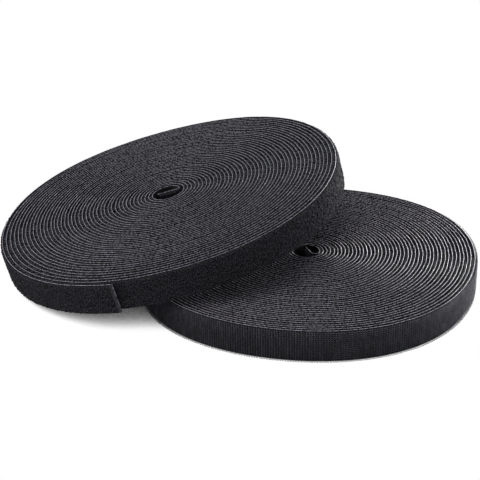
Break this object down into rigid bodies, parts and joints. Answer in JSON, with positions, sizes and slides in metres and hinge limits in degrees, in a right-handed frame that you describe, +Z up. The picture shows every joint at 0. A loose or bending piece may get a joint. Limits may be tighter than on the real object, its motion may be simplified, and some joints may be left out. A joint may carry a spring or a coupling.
{
  "type": "hook and loop tape roll",
  "caption": "Set of black hook tape and loop tape, each wound flat into a coreless roll, the loop roll leaning on the hook roll, with free ends that peel off for cutting.",
  "frame": {"origin": "middle of the set's footprint, on the surface that it stands on", "axes": "+Z up; +X along the way the loop roll climbs over the hook roll, the set's longest side; +Y away from the viewer"},
  "size_m": [0.3086, 0.2792, 0.0739],
  "materials": {
    "hook_ground": "matte woven nylon ground with pale selvedge",
    "hook_rows": "satin nylon monofilament hooks in rows",
    "loop_ground": "matte woven nylon ground with pale selvedge",
    "loop_pile": "soft brushed nylon loop pile"
  },
  "bodies": {
    "hook_roll": {"hook_winding": "hook_ground", "hook_rows": "hook_rows"},
    "hook_outer_end": {"hook_outer_end": "hook_ground", "hook_outer_end_rows": "hook_rows"},
    "hook_inner_end": {"hook_inner_end": "hook_ground"},
    "loop_roll": {"loop_winding": "loop_ground", "loop_pile": "loop_pile"},
    "loop_outer_end": {"loop_outer_end": "loop_ground", "loop_outer_end_pile": "loop_pile"},
    "loop_inner_end": {"loop_inner_end": "loop_ground"}
  },
  "joints": [
    {"name": "loop_roll_lift", "type": "slide", "parent": "hook_roll", "child": "loop_roll", "axis": [0, 0, 1], "range_m": [0, 0.12]},
    {"name": "hook_outer_end_peel", "type": "hinge", "parent": "hook_roll", "child": "hook_outer_end", "pos_m": [0.10773, 0.05954, 0], "axis": [0, 0, -1], "range_deg": [0, 70], "stiffness_Nm_per_rad": 0.002},
    {"name": "hook_inner_end_swing", "type": "hinge", "parent": "hook_roll", "child": "hook_inner_end", "pos_m": [0.05262, -0.03479, 0], "axis": [0, 0, 1], "range_deg": [0, 12], "stiffness_Nm_per_rad": 0.002},
    {"name": "loop_outer_end_peel", "type": "hinge", "parent": "loop_roll", "child": "loop_outer_end", "pos_m": [-0.11629, -0.06139, 0.0078], "axis": [0.2345, 0, -0.9721], "range_deg": [0, 70], "stiffness_Nm_per_rad": 0.002},
    {"name": "loop_inner_end_swing", "type": "hinge", "parent": "loop_roll", "child": "loop_inner_end", "pos_m": [-0.02525, 0.02612, 0.02976], "axis": [-0.2345, 0, 0.9721], "range_deg": [0, 12], "stiffness_Nm_per_rad": 0.002}
  ]
}
